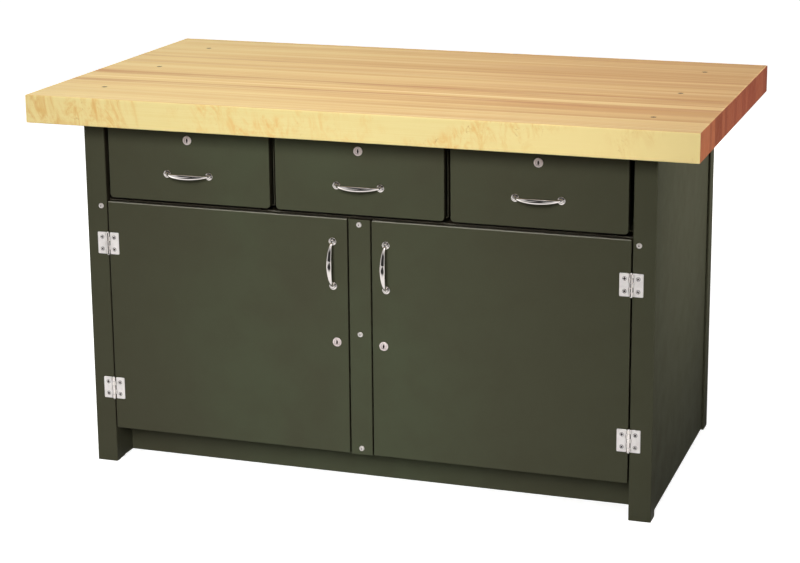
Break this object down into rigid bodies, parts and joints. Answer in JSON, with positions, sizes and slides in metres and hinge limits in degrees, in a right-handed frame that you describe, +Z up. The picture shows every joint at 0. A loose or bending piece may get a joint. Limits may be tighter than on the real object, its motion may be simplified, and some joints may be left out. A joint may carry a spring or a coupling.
{
  "type": "cabinet workbench",
  "caption": "Steel cabinet workbench with an overhanging laminated hardwood top, lockable drawers in a row under it and a pair of lockable hinged doors over a shelved cupboard.",
  "frame": {"origin": "on the floor, under the middle of the worktop", "axes": "+X along the worktop to the right as seen from the front, +Y from front to back, +Z up"},
  "size_m": [1.524, 0.86, 0.879],
  "materials": {
    "paint": "satin olive-green enamel on sheet steel",
    "maple": "oiled laminated hardwood",
    "chrome": "polished chrome",
    "zinc": "bright zinc plate"
  },
  "bodies": {
    "cabinet": {"worktop": "maple", "front_left_post": "paint", "front_right_post": "paint", "rear_left_post": "paint", "rear_right_post": "paint", "left_side_panel": "paint", "right_side_panel": "paint", "left_end_runner": "paint", "right_end_runner": "paint", "back_panel": "paint", "bottom_pan": "paint", "shelf": "paint", "drawer_bed": "paint", "kick_plate": "paint", "center_mullion": "paint", "drawer_header": "paint", "drawer_divider_1": "paint", "drawer_divider_2": "paint", "left_post_bolt": "zinc", "right_post_bolt": "zinc", "mullion_upper_bolt": "zinc", "mullion_middle_bolt": "zinc", "mullion_lower_bolt": "zinc", "left_upper_hinge_frame_leaf": "zinc", "left_lower_hinge_frame_leaf": "zinc", "right_upper_hinge_frame_leaf": "zinc", "right_lower_hinge_frame_leaf": "zinc", "left_upper_hinge_pin": "zinc", "left_lower_hinge_pin": "zinc", "right_upper_hinge_pin": "zinc", "right_lower_hinge_pin": "zinc"},
    "drawer_1": {"drawer_1_front": "paint", "drawer_1_body": "paint", "drawer_1_pull": "chrome", "drawer_1_lock_case": "chrome"},
    "drawer_2": {"drawer_2_front": "paint", "drawer_2_body": "paint", "drawer_2_pull": "chrome", "drawer_2_lock_case": "chrome"},
    "drawer_3": {"drawer_3_front": "paint", "drawer_3_body": "paint", "drawer_3_pull": "chrome", "drawer_3_lock_case": "chrome"},
    "drawer_1_lock": {"drawer_1_lock_plug": "chrome"},
    "drawer_2_lock": {"drawer_2_lock_plug": "chrome"},
    "drawer_3_lock": {"drawer_3_lock_plug": "chrome"},
    "left_door": {"left_door_panel": "paint", "left_door_stiffener": "paint", "left_door_pull": "chrome", "left_door_lock_case": "chrome", "left_upper_hinge_door_leaf": "zinc", "left_lower_hinge_door_leaf": "zinc"},
    "right_door": {"right_door_panel": "paint", "right_door_stiffener": "paint", "right_door_pull": "chrome", "right_door_lock_case": "chrome", "right_upper_hinge_door_leaf": "zinc", "right_lower_hinge_door_leaf": "zinc"},
    "left_door_lock": {"left_door_lock_plug": "chrome"},
    "right_door_lock": {"right_door_lock_plug": "chrome"}
  },
  "joints": [
    {"name": "drawer_1_slide", "type": "slide", "parent": "cabinet", "child": "drawer_1", "axis": [0, -1, 0], "range_m": [0, 0.42]},
    {"name": "drawer_2_slide", "type": "slide", "parent": "cabinet", "child": "drawer_2", "axis": [0, -1, 0], "range_m": [0, 0.42]},
    {"name": "drawer_3_slide", "type": "slide", "parent": "cabinet", "child": "drawer_3", "axis": [0, -1, 0], "range_m": [0, 0.42]},
    {"name": "drawer_1_lock_turn", "type": "hinge", "parent": "drawer_1", "child": "drawer_1_lock", "pos_m": [-0.405, -0.353, 0.78], "axis": [0, 1, 0], "range_deg": [0, 90]},
    {"name": "drawer_2_lock_turn", "type": "hinge", "parent": "drawer_2", "child": "drawer_2_lock", "pos_m": [0, -0.353, 0.78], "axis": [0, 1, 0], "range_deg": [0, 90]},
    {"name": "drawer_3_lock_turn", "type": "hinge", "parent": "drawer_3", "child": "drawer_3_lock", "pos_m": [0.405, -0.353, 0.78], "axis": [0, 1, 0], "range_deg": [0, 90]},
    {"name": "left_door_swing", "type": "hinge", "parent": "cabinet", "child": "left_door", "pos_m": [-0.6095, -0.35655, 0.3555], "axis": [0, 0, -1], "range_deg": [0, 180]},
    {"name": "right_door_swing", "type": "hinge", "parent": "cabinet", "child": "right_door", "pos_m": [0.6095, -0.35655, 0.3555], "axis": [0, 0, 1], "range_deg": [0, 180]},
    {"name": "left_door_lock_turn", "type": "hinge", "parent": "left_door", "child": "left_door_lock", "pos_m": [-0.055, -0.353, 0.343], "axis": [0, -1, 0], "range_deg": [0, 90]},
    {"name": "right_door_lock_turn", "type": "hinge", "parent": "right_door", "child": "right_door_lock", "pos_m": [0.055, -0.353, 0.343], "axis": [0, 1, 0], "range_deg": [0, 90]}
  ]
}
